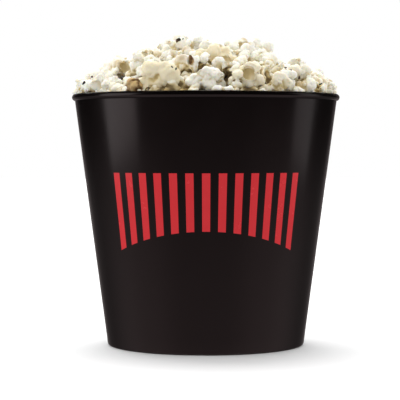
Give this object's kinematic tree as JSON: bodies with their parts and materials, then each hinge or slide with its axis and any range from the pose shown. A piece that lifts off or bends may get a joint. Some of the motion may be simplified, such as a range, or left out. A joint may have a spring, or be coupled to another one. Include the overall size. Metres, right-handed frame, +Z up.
{
  "type": "bucket of popcorn",
  "caption": "Tapered round plastic bucket with a beaded rim, heaped above the rim with popped corn flakes.",
  "frame": {"origin": "centre of the bucket's foot, on the plane it stands on", "axes": "+Z up along the bucket's axis, -Y towards the printed front"},
  "size_m": [0.19, 0.19, 0.2225],
  "materials": {
    "bucket": "moulded black plastic with a soft gloss",
    "popcorn": "puffed starch, white to cream, with brown hulls"
  },
  "bodies": {
    "root": {"bucket": "bucket", "popcorn": "popcorn"}
  },
  "joints": []
}
